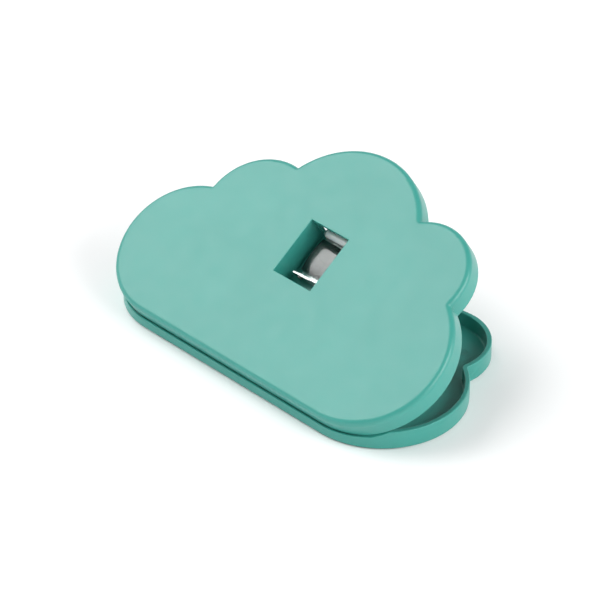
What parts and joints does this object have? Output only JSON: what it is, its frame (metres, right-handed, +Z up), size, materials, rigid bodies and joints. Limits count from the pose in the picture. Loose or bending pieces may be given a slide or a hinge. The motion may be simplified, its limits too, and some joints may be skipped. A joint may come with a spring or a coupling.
{
  "type": "tape dispenser",
  "caption": "Thin cloud-shaped desk tape dispenser: a spring-hinged lid over a shallow tray, with a small tape roll, guide roller and serrated cutter below a window in the lid.",
  "frame": {"origin": "on the resting plane, below the middle of the tray's outline (the bottom of the non-slip pad)", "axes": "+Z up, +X along the straight front edge to the user's right, +Y from that edge towards the lobes"},
  "size_m": [0.1498, 0.0964, 0.0598],
  "materials": {
    "lid_plastic": "satin moulded ABS",
    "tray_plastic": "satin moulded ABS",
    "bracket_steel": "zinc-plated sheet steel",
    "bridge_steel": "plain sheet steel",
    "blade_steel": "ground spring steel",
    "rivet_aluminium": "plain",
    "screw_steel": "zinc-plated",
    "axle_steel": "turned",
    "clip_steel": "blackened spring steel",
    "washer_felt": "pressed felt",
    "core_plastic": "moulded",
    "tape_wound": "wound clear tape",
    "tape_clear": "clear film",
    "roller_plastic": "polished white acetal",
    "pin_steel": "drawn wire",
    "strike_steel": "zinc-plated",
    "spring_steel": "spring wire",
    "ballast_iron": "blackened plate",
    "pad_rubber": "matt foam rubber",
    "magnet_nickel": "nickel-plated"
  },
  "bodies": {
    "base": {"base_tray": "tray_plastic", "hinge_pins": "pin_steel", "hinge_springs": "spring_steel", "ballast_plates": "ballast_iron", "ballast_screws": "screw_steel", "non_slip_pad": "pad_rubber", "catch_magnets": "magnet_nickel"},
    "lid": {"lid_shell": "lid_plastic", "tape_bracket": "bracket_steel", "tape_bridge": "bridge_steel", "cutter_blade": "blade_steel", "cutter_rivets": "rivet_aluminium", "bracket_screws": "screw_steel", "roll_axle": "axle_steel", "axle_clip": "clip_steel", "drag_washers": "washer_felt", "tape_end": "tape_clear", "guide_pin": "pin_steel", "strike_discs": "strike_steel"},
    "roll": {"tape_core": "core_plastic", "tape_roll": "tape_wound"},
    "guide": {"guide_roller": "roller_plastic"}
  },
  "joints": [
    {"name": "lid_hinge", "type": "hinge", "parent": "base", "child": "lid", "pos_m": [0, -0.03785, 0.0092], "axis": [1, 0, 0], "range_deg": [-32, 0], "stiffness_Nm_per_rad": 0.02, "springref_deg": 85.94, "deforming": ["hinge_springs"]},
    {"name": "roll_spin", "type": "hinge", "parent": "lid", "child": "roll", "pos_m": [0, 0.01662, 0.04224], "axis": [1, 0, 0], "continuous": true},
    {"name": "guide_spin", "type": "hinge", "parent": "lid", "child": "guide", "pos_m": [0, 0.00741, 0.03489], "axis": [1, 0, 0], "continuous": true}
  ],
  "couplings": [
    {"joint": "guide_spin", "follows": "roll_spin", "ratio": -3.7419}
  ]
}
